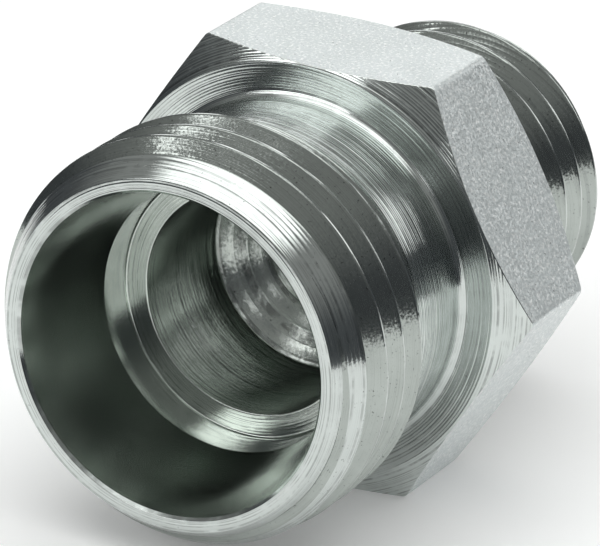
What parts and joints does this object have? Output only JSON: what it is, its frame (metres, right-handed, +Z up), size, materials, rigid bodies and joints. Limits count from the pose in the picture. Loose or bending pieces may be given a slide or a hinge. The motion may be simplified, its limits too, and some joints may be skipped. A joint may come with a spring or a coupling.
{
  "type": "straight coupling",
  "caption": "Reducing straight tube coupling body: hexagon between two male-threaded barrels with 24 degree cone sockets, joined by a stepped bore.",
  "frame": {"origin": "on the surface it lies on, under the middle of its length", "axes": "+X along the coupling's axis, from the large end towards the small end; +Z up, square to the flat of the hexagon that it lies on"},
  "size_m": [0.028, 0.0218, 0.019],
  "materials": {
    "plated_steel": "zinc-plated turned steel, satin, with fine turning marks and matt hexagon flats"
  },
  "bodies": {
    "root": {"coupling_body": "plated_steel"}
  },
  "joints": []
}
